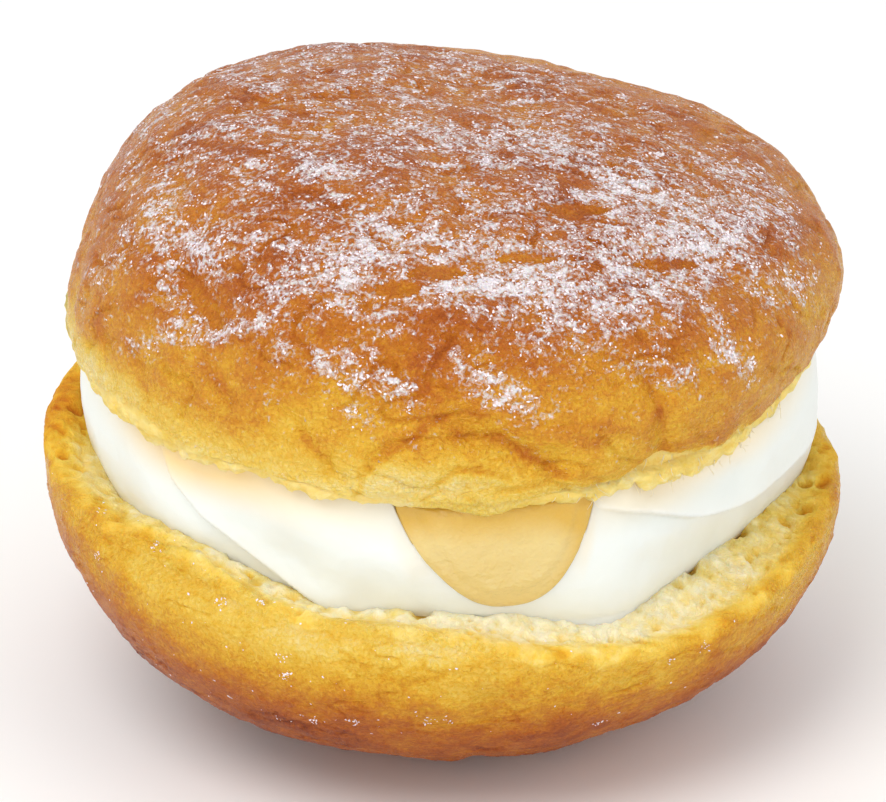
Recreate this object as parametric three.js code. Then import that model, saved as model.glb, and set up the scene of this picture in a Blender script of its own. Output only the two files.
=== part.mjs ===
// A cream doughnut: a round yeast-raised doughnut, fried, cut across its pale waist and filled.
// The bottom half carries a bed of whipped cream, custard lies in the cream and runs out over it
// at the front, and the top half rests on both. Millimetres, +Z up, origin under the middle of
// the base, front at -Y.
import * as THREE from "three";

// Driving dimensions.
const WIDTH = 87; // across the bottom half
const TOP_WIDTH = 83.2; // across the top half
const CROWN = 66.6; // height of the middle of the crown
const BOTTOM_CUT = 25.5; // height of the bottom half's cut face, round its middle
const TOP_CUT = 41.5; // height of the top half's cut face, round its middle
const CREAM_WIDTH = 77; // across the top of the cream
const CUSTARD_WIDTH = 42; // across the custard that lies in the cream
const CUSTARD_DEPTH = 4.5; // and its thickness
const TONGUE_TIP = 26.8; // height of the lowest point of the custard that runs out
const CLEARANCE = 0.35; // between pieces that touch

const { sin, cos, asin, min, max, exp, pow, PI } = Math;
const rad = THREE.MathUtils.degToRad;
const deg = THREE.MathUtils.radToDeg;
const mix = THREE.MathUtils.lerp;
const smooth = THREE.MathUtils.smoothstep;
const clamp = THREE.MathUtils.clamp;

// Azimuth is 0 at the front and grows towards the right, in degrees.
const turned = (azimuth, from) => ((azimuth - from + 540) % 360) - 180;
const hump = (azimuth, at, spread) => exp(-0.5 * pow(turned(azimuth, at) / spread, 2));
const around = (azimuth, r, z) => new THREE.Vector3(r * sin(rad(azimuth)), -r * cos(rad(azimuth)), z);

// ---- how a round piece is made ----

const SEGMENTS = 80; // columns of faces round each piece
const CROWDING = 0.42; // how much closer they stand at the front, where the detail is
const FACE_RADII = [0, 15, 28, 32, 36]; // rows of faces on the halves' cut faces and against them
const LEVEL_RADIUS = FACE_RADII[2]; // the cut faces are level inside this radius
const EDGE_RADIUS = FACE_RADII[4]; // the outermost of those rows

function azimuthOf(column) {
  const even = ((column % SEGMENTS) * 360) / SEGMENTS;
  return even - deg(CROWDING * sin(rad(even)));
}

// A closed round body: rows of faces that follow surface(azimuth, row) from one pole to the other.
function roundBody(rows, surface) {
  const profile = Array.from({ length: rows + 1 }, (_, row) => new THREE.Vector2(1, row));
  const geometry = new THREE.LatheGeometry(profile, SEGMENTS);
  const place = geometry.getAttribute("position");
  for (let column = 0; column <= SEGMENTS; column++) {
    for (let row = 0; row <= rows; row++) {
      const azimuth = azimuthOf(column);
      const { r, z } = surface(azimuth, row);
      place.setXYZ(column * (rows + 1) + row, ...around(azimuth, r, z));
    }
  }
  return geometry;
}

// Folds, creases and swellings: each is a soft line across a surface between two of its points,
// raised by its height, or sunk where that is negative.
function reliefOf(lines, pointOn) {
  const laid = lines.map(({ from, to, width, height }) => {
    return { line: new THREE.Line3(pointOn(...from), pointOn(...to)), width, height };
  });
  const nearest = new THREE.Vector3();
  return (point) => laid.reduce((raised, { line, width, height }) => {
    const away = line.closestPointToPoint(point, true, nearest).distanceTo(point);
    return raised + height * exp(-0.5 * pow(away / width, 2));
  }, 0);
}

// ---- bottom half: a bowl of crust with a flat foot, and its cut face ----

const BOTTOM_WALL_ROWS = 15;
const BOTTOM_LIP_ROWS = 2;
const BOTTOM_SUNK = 0.9; // how far the underside is flattened where it stands
const BOTTOM_UPPER_REACH = 9; // from the widest height up to where the wall would close
const BOTTOM_LIP = 1.4; // rounding between the wall and the cut face
const BOTTOM_RIM_IN = 3; // the rim stands this far in from the widest part
const BAND_RADIUS = 38.5; // middle of the bare band of crumb between the rim and the cream
const BAND_SAG = 0.45; // the crumb sags this much there, where the knife tore it
const bottomBelly = (azimuth) => 23 + 7 * hump(azimuth, -100, 32) + 1.6 * hump(azimuth, 90, 35);
const bottomRim = (azimuth) => 28 - 1.5 * sin(rad(azimuth)) + 2.5 * hump(azimuth, -108, 18)
  - 0.5 * hump(azimuth, -30, 8) - 1.2 * hump(azimuth, -18, 8) - 5 * hump(azimuth, 35, 24);

function bottomCrust(azimuth, latitude) {
  const squareness = 2.05 + 0.25 * hump(azimuth, -52, 25) + 0.18 * hump(azimuth, 55, 25)
    + 0.1 * hump(azimuth, 8, 20);
  const reach = latitude < 0 ? bottomBelly(azimuth) + BOTTOM_SUNK : BOTTOM_UPPER_REACH;
  const r = (WIDTH / 2) * pow(max(0, cos(rad(latitude))), 2 / squareness);
  return { r, z: bottomBelly(azimuth) + reach * sin(rad(latitude)) };
}
function bottomLatitude(azimuth, z) {
  const above = z - bottomBelly(azimuth);
  return deg(asin(above / (above < 0 ? bottomBelly(azimuth) + BOTTOM_SUNK : BOTTOM_UPPER_REACH)));
}
const bottomWallEnd = (azimuth) => bottomLatitude(azimuth, bottomRim(azimuth) - BOTTOM_LIP);

const bottomRelief = reliefOf(
  [
    { from: [7, -12], to: [7, -55], width: 1.4, height: -0.6 }, // crease down the front
    { from: [6, -58], to: [20, -58], width: 5, height: 0.6 }, // swelling below it
    { from: [-32, -58], to: [-18, -60], width: 5, height: -1.3 }, // hollow to its left
    { from: [-70, -25], to: [-64, -50], width: 4, height: -0.6 }, // drawn-in left flank
    { from: [64, -20], to: [50, -55], width: 5, height: -0.3 }, // and right flank
  ],
  (azimuth, latitude) => {
    const { r, z } = bottomCrust(azimuth, latitude);
    return around(azimuth, r, z);
  },
);

// Height of the bottom half's cut face: level inside, rising or falling to the rim outside.
function bottomCut(azimuth, r) {
  const outward = max(0, r - LEVEL_RADIUS) / (WIDTH / 2 - BOTTOM_RIM_IN - LEVEL_RADIUS);
  return mix(BOTTOM_CUT, bottomRim(azimuth), outward * outward);
}

function bottomSurface(azimuth, row) {
  const end = bottomWallEnd(azimuth);
  if (row <= BOTTOM_WALL_ROWS) {
    const latitude = mix(-90, end, row / BOTTOM_WALL_ROWS);
    const { r, z } = bottomCrust(azimuth, latitude);
    const raised = bottomRelief(around(azimuth, r, z));
    return { r: r + raised * cos(rad(latitude)), z: max(0, z + raised * sin(rad(latitude))) };
  }
  const edge = bottomCrust(azimuth, end).r;
  const lipRow = row - BOTTOM_WALL_ROWS;
  if (lipRow <= BOTTOM_LIP_ROWS) {
    const f = (lipRow / BOTTOM_LIP_ROWS) * (PI / 2);
    return { r: edge - BOTTOM_LIP * (1 - cos(f)), z: bottomRim(azimuth) - BOTTOM_LIP * (1 - sin(f)) };
  }
  const faceRow = lipRow - BOTTOM_LIP_ROWS - 1;
  const r = faceRow === 0 ? BAND_RADIUS : FACE_RADII[FACE_RADII.length - faceRow];
  return { r, z: bottomCut(azimuth, r) - BAND_SAG * smooth(r, LEVEL_RADIUS, BAND_RADIUS) };
}

// ---- top half: a domed crown with a flat-topped, uneven form, and its cut face ----

const TOP_LIP_ROWS = 2;
const TOP_CROWN_ROWS = 18;
const TOP_LIP = 1.2; // rounding between the cut face and the wall
const TOP_RIM_IN = 2; // its rim stands this far in from the widest part
const TOP_SHIFT = 0.8; // the top half sits this far to the right
const CROWN_TILT = 0.11; // how fast the crown falls towards the right
const topBelly = (azimuth) => 45 + 3.8 * sin(rad(azimuth));
const topRim = (azimuth) => 39.4 + 5.2 * hump(azimuth, -105, 38) + 0.9 * hump(azimuth, -27, 9)
  + 4.6 * hump(azimuth, 95, 34) + 4 * hump(azimuth, 180, 45);

function topCrust(azimuth, latitude) {
  const squareness = 2.8 + 1.1 * hump(azimuth, -110, 35) + 0.5 * hump(azimuth, 100, 35)
    + 0.3 * hump(azimuth, 180, 35);
  const widest = TOP_WIDTH / 2 + TOP_SHIFT * sin(rad(azimuth));
  const r = widest * pow(max(0, cos(rad(latitude))), 2 / squareness);
  const crown = CROWN - CROWN_TILT * r * sin(rad(azimuth));
  return { r, z: mix(topBelly(azimuth), crown, sin(rad(latitude))) };
}
function topLatitude(azimuth, z) {
  const crown = CROWN - CROWN_TILT * (TOP_WIDTH / 2) * sin(rad(azimuth));
  return deg(asin((z - topBelly(azimuth)) / (crown - topBelly(azimuth))));
}
const topWallStart = (azimuth) => topLatitude(azimuth, topRim(azimuth) + TOP_LIP);

const topRelief = reliefOf(
  [
    { from: [2, 10], to: [15, -5], width: 1.5, height: -1.2 }, // crease over the front lip
    { from: [14, -8], to: [24, -10], width: 1.6, height: 0.8 }, // the lip below it
    { from: [-10, 1], to: [-3, 2], width: 3, height: 1 }, // round cheek beside the crease
    { from: [32, 11], to: [32, -14], width: 1.3, height: -1.1 }, // upright fold on the right
    { from: [38, 4], to: [52, 6], width: 3.5, height: 0.6 }, // swelling beyond it
    { from: [-56, 40], to: [-38, 29], width: 2.2, height: -1 }, // valley on the left shoulder
    { from: [-68, 14], to: [-60, 40], width: 3.5, height: 0.8 }, // ridge outside it
    { from: [-80, 58], to: [-52, 47], width: 1.8, height: -0.6 }, // crease above it
    { from: [-24, 40], to: [2, 42], width: 2.4, height: 0.6 }, // front edge of the crown
    { from: [38, 49], to: [54, 38], width: 1.8, height: -0.7 }, // arched crease on the right
    { from: [108, 36], to: [122, 38], width: 5, height: 1.1 }, // swellings on the right shoulder
    { from: [84, 10], to: [92, 6], width: 3, height: 0.5 },
    { from: [-100, 20], to: [-88, 45], width: 7, height: -0.5 }, // flatter left shoulder
    { from: [-35, 62], to: [10, 55], width: 1.8, height: -0.4 }, // shallow creases of the crown
    { from: [60, 72], to: [25, 60], width: 1.8, height: -0.4 },
  ],
  (azimuth, latitude) => {
    const { r, z } = topCrust(azimuth, latitude);
    return around(azimuth, r, z);
  },
);

// Height of the top half's cut face.
function topCut(azimuth, r) {
  const outward = max(0, r - LEVEL_RADIUS) / (TOP_WIDTH / 2 - TOP_RIM_IN - LEVEL_RADIUS);
  return mix(TOP_CUT, topRim(azimuth), outward * outward);
}

function topSurface(azimuth, row) {
  if (row < FACE_RADII.length) {
    const r = FACE_RADII[row];
    return { r, z: topCut(azimuth, r) };
  }
  const start = topWallStart(azimuth);
  const lipRow = row - FACE_RADII.length;
  if (lipRow < TOP_LIP_ROWS) {
    const f = (lipRow / TOP_LIP_ROWS) * (PI / 2);
    const edge = topCrust(azimuth, start).r;
    return { r: edge - TOP_LIP * (1 - sin(f)), z: topRim(azimuth) + TOP_LIP * (1 - cos(f)) };
  }
  const latitude = mix(start, 90, (lipRow - TOP_LIP_ROWS) / TOP_CROWN_ROWS);
  const { r, z } = topCrust(azimuth, latitude);
  const raised = topRelief(around(azimuth, r, z));
  return { r: r + raised * cos(rad(latitude)), z: z + raised * sin(rad(latitude)) };
}

// ---- where the custard runs: a pool in the cream, with a tongue out over its front ----

const TONGUE_AT = 9.2; // azimuth of its tip
const TONGUE_LEFT = 16.2; // degrees from the tip to its left edge, at the top
const TONGUE_RIGHT = 13.8; // and to its right edge
const TONGUE_DROP = 12; // height from the tip to where it comes out
const TONGUE_THICK = 1.7;
const TONGUE_PROUD = 0.8; // how far it stands out of the cream round it
const BED_SPARE = 3; // degrees by which its bed inside the cream is wider on each side

// Height of the tongue's edge: a long slant on the left and a steep rounded side on the right.
function tongueEdge(azimuth, spare = 0) {
  const off = turned(azimuth, TONGUE_AT);
  const shape = off < 0 ? pow(-off / (TONGUE_LEFT + spare), 2) : pow(off / (TONGUE_RIGHT + spare), 3);
  return TONGUE_TIP + TONGUE_DROP * min(shape, 2);
}
// Depth below the top half's cut face that the custard fills: a lens in the middle and a run
// from it out to the tongue.
function custardDepth(azimuth, r) {
  const lens = 1 - smooth(r, CUSTARD_WIDTH / 2 - 9, CUSTARD_WIDTH / 2 + 6);
  const spare = BED_SPARE * (1 - smooth(r, EDGE_RADIUS - 5, EDGE_RADIUS + 1));
  const below = (topCut(azimuth, r) - tongueEdge(azimuth, spare)) / CUSTARD_DEPTH;
  return CUSTARD_DEPTH * max(lens, clamp(below, 0, 1) * smooth(r, CUSTARD_WIDTH / 3, LEVEL_RADIUS + 2));
}
// 1 where the custard runs out, 0 where it stays inside.
const runsOut = (azimuth) => smooth(topCut(azimuth, EDGE_RADIUS + 1) - tongueEdge(azimuth), 0.8, 2.4);

// ---- whipped cream: soft lobes pressed out between the halves ----

const CREAM_BASE_ROWS = FACE_RADII.length - 1;
const CREAM_WALL_ROWS = 9;
const CREAM_TOP_RADII = [34, 30, 26, 22, 18, 14, 10, 0]; // rows of faces on its top
const CREAM_BULGE = 1.3; // how far its side swells between the halves
const creamFoot = (azimuth) => 35 + 3.5 * hump(azimuth, -103, 22) + 1.8 * hump(azimuth, -50, 10)
  + 2.4 * hump(azimuth, -19, 8) + 1.6 * hump(azimuth, 2, 9) + 3.2 * hump(azimuth, 26, 9)
  + 5 * hump(azimuth, 98, 16) + 2 * hump(azimuth, 180, 45);
const creamTop = (azimuth) => CREAM_WIDTH / 2 + 0.9 * sin(rad(azimuth));
function creamWall(azimuth, z) {
  const low = bottomCut(azimuth, EDGE_RADIUS);
  const up = clamp((z - low) / (topCut(azimuth, EDGE_RADIUS) - low), 0, 1);
  const straight = mix(creamFoot(azimuth), creamTop(azimuth), smooth(up, -0.1, 1));
  return straight + CREAM_BULGE * pow(sin(PI * up), 0.7);
}

const creamRelief = reliefOf(
  [
    { from: [-50, 40], to: [-43, 33.5], width: 1.7, height: -1.1 }, // crease between the left lobes
    { from: [-43, 33.5], to: [-29, 28.5], width: 1.7, height: -1.1 },
    { from: [-24, 37], to: [-5, 32], width: 2.4, height: 0.8 }, // ridge of the front lobe
    { from: [-27, 32], to: [-16, 28], width: 2, height: -0.9 }, // hollow under it
    { from: [25, 38], to: [43, 33], width: 1.5, height: 0.9 }, // ridge of the right lobe
    { from: [43, 33], to: [80, 31], width: 1.5, height: 0.8 },
    { from: [33, 31.5], to: [52, 28.5], width: 1.6, height: -0.9 }, // layer under it
    { from: [-84, 38], to: [-66, 30], width: 2.4, height: 0.5 }, // far left lobe
    { from: [120, 38], to: [140, 29], width: 2.2, height: -1 }, // folds behind
    { from: [165, 38], to: [185, 29], width: 2.2, height: -1 },
    { from: [212, 38], to: [230, 29], width: 2.2, height: -1 },
  ],
  (azimuth, z) => around(azimuth, creamWall(azimuth, z), z),
);
// The cream's side, sunk where the custard lies on it.
function creamSide(azimuth, z) {
  const r = creamWall(azimuth, z) + creamRelief(around(azimuth, creamWall(azimuth, z), z));
  const covered = smooth(z - tongueEdge(azimuth), -1.6, 0.8);
  return r - covered * (TONGUE_THICK - TONGUE_PROUD);
}

function creamSurface(azimuth, row) {
  const under = (r) => bottomCut(azimuth, r) + CLEARANCE;
  const over = (r) => topCut(azimuth, r) - CLEARANCE - custardDepth(azimuth, r);
  if (row < CREAM_BASE_ROWS) return { r: FACE_RADII[row], z: under(FACE_RADII[row]) };
  const wallRow = row - CREAM_BASE_ROWS;
  if (wallRow <= CREAM_WALL_ROWS) {
    const foot = creamFoot(azimuth);
    const z = mix(under(foot), over(creamTop(azimuth)), wallRow / CREAM_WALL_ROWS);
    return { r: wallRow === 0 ? foot : creamSide(azimuth, z), z };
  }
  const r = CREAM_TOP_RADII[wallRow - CREAM_WALL_ROWS - 1];
  return { r, z: over(r) };
}

// ---- custard: the lens inside, and the tongue down the cream's side ----

const LENS_RADII = [0, 10, 14, 18]; // rows of faces under the lens
const RUN_ROWS = 4; // and from there out to where it ends
const TONGUE_ROWS = 5; // down the cream's side, and as many up again
const CUSTARD_ROWS = LENS_RADII.length + RUN_ROWS + 2 * TONGUE_ROWS + 1;
const TIP_ROUNDING = 3; // height over which the tongue thins towards its edge

function custardSurface(azimuth, row) {
  const out = runsOut(azimuth);
  const floor = (r) => topCut(azimuth, r) - custardDepth(azimuth, r) + 1.4 * CLEARANCE;
  const roof = (r) => topCut(azimuth, r) - CLEARANCE;
  const inside = CUSTARD_WIDTH / 2;
  const edge = mix(inside, creamSide(azimuth, floor(creamTop(azimuth))) + CLEARANCE, out);
  if (row < LENS_RADII.length) return { r: LENS_RADII[row], z: floor(LENS_RADII[row]) };
  const runRow = row - LENS_RADII.length + 1;
  if (runRow < RUN_ROWS) {
    const r = mix(LENS_RADII.at(-1), edge, runRow / RUN_ROWS);
    return { r, z: floor(r) };
  }
  const down = (runRow - RUN_ROWS) / TONGUE_ROWS;
  if (down > 2) {
    const r = (CUSTARD_ROWS - row) * LENS_RADII.at(-1);
    return { r, z: roof(r) };
  }
  // Down the side of the cream, round the tip and up again.
  const spout = floor(edge);
  const tip = mix(spout + 0.1, tongueEdge(azimuth), out);
  const z = down <= 1 ? mix(spout, tip, down) : mix(tip, roof(edge + TONGUE_THICK * out), down - 1);
  const inner = creamSide(azimuth, z) + CLEARANCE + 0.2;
  const outer = inner + (TONGUE_THICK - CLEARANCE) * pow(smooth(z, tip - 0.01, tip + TIP_ROUNDING), 0.5);
  return { r: mix(inside, down <= 1 ? inner : outer, out), z };
}

// ---- the doughnut ----

const doughnut = new THREE.Group();
function addPiece(name, color, roughness, rows, surface) {
  const material = new THREE.MeshStandardMaterial({ color, roughness, metalness: 0 });
  const mesh = new THREE.Mesh(roundBody(rows, surface), material);
  mesh.name = name;
  doughnut.add(mesh);
}
const bottomRows = BOTTOM_WALL_ROWS + BOTTOM_LIP_ROWS + FACE_RADII.length + 1;
const creamRows = CREAM_BASE_ROWS + CREAM_WALL_ROWS + CREAM_TOP_RADII.length;
const topRows = FACE_RADII.length + TOP_LIP_ROWS + TOP_CROWN_ROWS;
addPiece("bottom_half", 0xd9952f, 0.55, bottomRows, bottomSurface);
addPiece("whipped_cream", 0xf9f7f0, 0.4, creamRows, creamSurface);
addPiece("custard", 0xe9cf80, 0.25, CUSTARD_ROWS, custardSurface);
addPiece("top_half", 0xc9792c, 0.5, topRows, topSurface);

export default doughnut;
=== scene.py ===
"""A cream doughnut: two halves of a fried yeast doughnut with whipped cream and custard between
them and powdered sugar over the crown. Sizes are in millimetres until a mesh is made; azimuth is
in degrees round the upright axis, 0 at the front and growing towards the right."""
import math
import bmesh
import bpy
import numpy as np
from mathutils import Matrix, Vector, noise


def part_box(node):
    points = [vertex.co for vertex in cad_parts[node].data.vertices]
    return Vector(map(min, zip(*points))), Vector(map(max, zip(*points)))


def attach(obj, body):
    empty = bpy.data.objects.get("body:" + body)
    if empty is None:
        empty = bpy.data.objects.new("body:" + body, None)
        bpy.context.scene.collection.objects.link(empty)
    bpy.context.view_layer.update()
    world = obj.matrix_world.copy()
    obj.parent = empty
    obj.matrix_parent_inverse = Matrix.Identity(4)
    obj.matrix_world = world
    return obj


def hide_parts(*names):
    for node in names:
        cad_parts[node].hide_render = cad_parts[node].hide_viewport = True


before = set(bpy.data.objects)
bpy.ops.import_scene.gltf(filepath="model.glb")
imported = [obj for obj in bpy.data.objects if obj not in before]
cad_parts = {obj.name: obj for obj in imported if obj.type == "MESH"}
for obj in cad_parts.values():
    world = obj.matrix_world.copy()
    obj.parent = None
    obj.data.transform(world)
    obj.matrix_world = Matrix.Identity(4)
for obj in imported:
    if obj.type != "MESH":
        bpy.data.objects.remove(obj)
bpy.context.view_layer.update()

# ---- camera ----
# Stands in front of the doughnut and looks down on it by 25 degrees, from far enough away that
# the crown is seen almost without perspective.

CAMERA_PITCH = math.radians(25)
CAMERA_DISTANCE = 0.6
CAMERA_AIM = Vector((0, 0, 0.033))
VIEW_WIDTH = 0.0965  # metres across the picture, where the doughnut stands
SENSOR_WIDTH = 36


def put_in_scene(name, data):
    made = bpy.data.objects.new(name, data)
    bpy.context.scene.collection.objects.link(made)
    return made


camera = put_in_scene("camera", bpy.data.cameras.new("camera"))
camera.data.sensor_width = SENSOR_WIDTH
camera.data.lens = SENSOR_WIDTH * CAMERA_DISTANCE / VIEW_WIDTH
camera_side = Vector((0, -math.cos(CAMERA_PITCH), math.sin(CAMERA_PITCH)))
camera.location = CAMERA_AIM + CAMERA_DISTANCE * camera_side
camera.rotation_euler = (math.pi / 2 - CAMERA_PITCH, 0, 0)
bpy.context.scene.camera = camera

# ---- bottom half ----
# A round of yeast-raised dough, fried on both sides, so that its waist stays pale. It was cut
# and pulled open there, and over the crust's edge shows the torn crumb, full of small bubbles.

bottom_low, bottom_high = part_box("bottom_half")
WIDTH = 1000 * (bottom_high.x - bottom_low.x)
BOTTOM_CUT = 25.5  # height of the cut face round its middle
LEVEL_RADIUS = 28  # the cut faces are level inside this radius
BOTTOM_BELLY = 23  # height of the widest part
BOTTOM_RIM = 28  # height of the rim
BOTTOM_RIM_TILT = 1.5  # how much lower the rim is on the right
BOTTOM_RIM_IN = 3  # how far the rim lies inside the widest part
BOTTOM_SQUARENESS = 2.05  # 2 makes the profile an ellipse, more makes it fuller
BOTTOM_SUNK = 0.9  # how far the underside is flattened where it stands
BOTTOM_UPPER_REACH = 9  # height of the profile above the widest part
BOTTOM_LIP = 1.4  # rounding over the rim
BAND_RADIUS = 38.5  # the torn band inside the rim sags fully from here on
BAND_SAG = 0.45
# Rises and dips round the doughnut: (azimuth, spread, height) each.
BOTTOM_BELLY_HUMPS = ((-100, 32, 7), (90, 35, 1.6))
BOTTOM_RIM_HUMPS = ((-108, 18, 2.5), (-30, 8, -0.5), (-18, 8, -1.2), (35, 24, -5))
BOTTOM_SQUARENESS_HUMPS = ((-52, 25, 0.25), (55, 25, 0.18), (8, 20, 0.1))
# The mesh: rows up the wall, over the lip and in over the torn band, and the radii of the few
# rows under the filling, where nothing shows.
BOTTOM_WALL_ROWS = 140
BOTTOM_LIP_ROWS = 8
BOTTOM_BAND_ROWS = 24
HIDDEN_RADII = (33, 28, 15, 0)
HIDDEN_ROWS = len(HIDDEN_RADII) - 1
COLUMNS = 480
CROWDING = 0.45  # how much closer the columns stand at the front


def mix(start, end, share):
    return start + (end - start) * share


def smooth(value, low, high):
    share = np.clip((value - low) / (high - low), 0, 1)
    return share * share * (3 - 2 * share)


def turned(azimuth, start):
    return (azimuth - start + 540) % 360 - 180


def hump(azimuth, at, spread):
    return np.exp(-0.5 * (turned(azimuth, at) / spread) ** 2)


def humps(azimuth, level, table):
    """A level with soft rises and dips round the doughnut: (azimuth, spread, height) each."""
    return sum((height * hump(azimuth, at, spread) for at, spread, height in table), level)


def around(azimuth, r, z):
    turn = np.radians(azimuth)
    return np.stack([r * np.sin(turn), -r * np.cos(turn), z + 0 * turn], axis=-1)


def soft_lines(point, lines, point_on, pointed=False):
    """Adds up soft lines laid over a surface: (from, to, width, height) each, with both ends as
    azimuth and latitude or height. A pointed line is widest in its middle."""
    total = np.zeros(len(point))
    for start, end, width, height in lines:
        first = point_on(*start)
        along = point_on(*end) - first
        share = np.clip((point - first) @ along / (along @ along + 1e-9), 0, 1)
        away = np.linalg.norm(point - first - share[:, None] * along, axis=1)
        if pointed:
            width = width * np.sqrt(1.02 - (2 * share - 1) ** 2)
        total += height * np.exp(-0.5 * (away / width) ** 2)
    return total


def seeded(seed):
    """How far to move in the endless noise, so that no two patterns are alike."""
    return Vector((seed * 7.3, seed * 3.1, seed * 5.7))


def lumps(point, size, octaves=3, seed=0):
    """Fractal noise about 0, about -1 to 1, with lumps of the given size."""
    move = seeded(seed)
    return np.array([noise.fractal(Vector(p) + move, 1.0, 2.0, octaves) for p in point / size])


def wrinkled(point, size, seed=0):
    """1 along thin wandering lines, 0 between them; the lines fade in and out."""
    line = np.exp(-(lumps(point, size, 2, seed) / 0.07) ** 2)
    return line * smooth(lumps(point, 1.6 * size, 2, seed + 1), -0.15, 0.25)


def bubbles(point, size, share, seed=0):
    """1 in the middle of each torn bubble, 0 outside; only a share of the cells holds one."""
    move = seeded(seed)
    cells = (noise.voronoi(Vector(p) + move) for p in point / size)
    near, luck = np.array([(away[0], noise.cell(middle[0] * 9)) for away, middle in cells]).T
    luck = 0.5 + 0.5 * luck
    return np.where(luck < share, 1 - smooth(near / (0.3 + 0.3 * luck / share), 0.35, 1), 0)


def new_piece(name, bm):
    """A smooth mesh object made of a bmesh."""
    mesh = bpy.data.meshes.new(name)
    bm.to_mesh(mesh)
    bm.free()
    mesh.shade_smooth()
    return put_in_scene(name, mesh)


def vertex_places(piece):
    place = np.empty(3 * len(piece.data.vertices))
    piece.data.vertices.foreach_get("co", place)
    return place.reshape(-1, 3)


def move_vertices(piece, point):
    """Puts a piece's vertices where they belong, given in millimetres."""
    piece.data.vertices.foreach_set("co", (point / 1000).ravel())


def note_fact(piece, fact, value):
    """Keeps a number for each vertex, for the material to read."""
    piece.data.attributes.new(fact, "FLOAT", "POINT").data.foreach_set("value", value)


def round_body(name, rows, surface):
    """Rolls a grid into a closed body, then lets surface(azimuth, row) say where each of its
    points lies and what is known of it."""
    bm = bmesh.new()
    bmesh.ops.create_grid(bm, x_segments=COLUMNS, y_segments=rows, size=1)
    for vert in bm.verts:
        turn, row = math.pi * vert.co.x, (1 + vert.co.y) * rows / 2
        off_axis = 0.5 < row < rows - 0.5
        vert.co = (off_axis * math.sin(turn), -off_axis * math.cos(turn), row)
    bmesh.ops.remove_doubles(bm, verts=bm.verts, dist=1e-4)
    bmesh.ops.recalc_face_normals(bm, faces=bm.faces)
    piece = new_piece(name, bm)
    x, y, row = vertex_places(piece).T
    even = np.arctan2(x, -y)
    point, facts = surface(np.degrees(even - CROWDING * np.sin(even)), np.round(row))
    move_vertices(piece, point)
    for fact, value in facts.items():
        note_fact(piece, fact, value)
    return piece


def bottom_belly(azimuth):
    return humps(azimuth, BOTTOM_BELLY, BOTTOM_BELLY_HUMPS)


def bottom_rim(azimuth):
    level = BOTTOM_RIM - BOTTOM_RIM_TILT * np.sin(np.radians(azimuth))
    return humps(azimuth, level, BOTTOM_RIM_HUMPS)


def bottom_crust(azimuth, latitude):
    """Radius and height of the crust's smooth profile."""
    squareness = humps(azimuth, BOTTOM_SQUARENESS, BOTTOM_SQUARENESS_HUMPS)
    reach = np.where(latitude < 0, bottom_belly(azimuth) + BOTTOM_SUNK, BOTTOM_UPPER_REACH)
    inward = np.maximum(0, np.cos(np.radians(latitude)))
    r = WIDTH / 2 * inward ** (2 / squareness)
    return r, bottom_belly(azimuth) + reach * np.sin(np.radians(latitude))


def bottom_wall_end(azimuth):
    """Latitude at which the lip begins."""
    above = bottom_rim(azimuth) - BOTTOM_LIP - bottom_belly(azimuth)
    reach = np.where(above < 0, bottom_belly(azimuth) + BOTTOM_SUNK, BOTTOM_UPPER_REACH)
    return np.degrees(np.arcsin(above / reach))


def on_bottom_crust(azimuth, latitude):
    return around(azimuth, *bottom_crust(azimuth, latitude))


def cut_face(r, level, edge, rim):
    """Height of a cut face, level in the middle and curving to the rim at its edge."""
    outward = (np.clip(r, LEVEL_RADIUS, edge) - LEVEL_RADIUS) / (edge - LEVEL_RADIUS)
    return mix(level, rim, outward ** 2)


def bottom_cut(azimuth, r):
    return cut_face(r, BOTTOM_CUT, WIDTH / 2 - BOTTOM_RIM_IN, bottom_rim(azimuth))


# Creases, swellings and hollows of the crust.
BOTTOM_RELIEF = (
    ((7, -12), (7, -55), 1.4, -0.6),  # crease down the front
    ((6, -58), (20, -58), 5, 0.6),  # swelling below it
    ((-32, -58), (-18, -60), 5, -1.3),  # hollow to its left
    ((-70, -25), (-64, -50), 4, -0.6),  # drawn-in left flank
    ((64, -20), (50, -55), 5, -0.3),  # and right flank
)
# Torn crumb that the cream pushed up, and where the crust and the cut face are darker or paler.
BOTTOM_HEAPS = ((-78, 24, 0.6), (-47, 9, 2))
BOTTOM_BROWNING = ((52, 16, -0.04), (-6, 12, -0.04), (-75, 20, 0.1), (84, 18, 0.1))
CUT_BROWNING = ((-97, 9, 0.36), (85, 20, 0.2), (-62, 24, 0.1))


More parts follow.
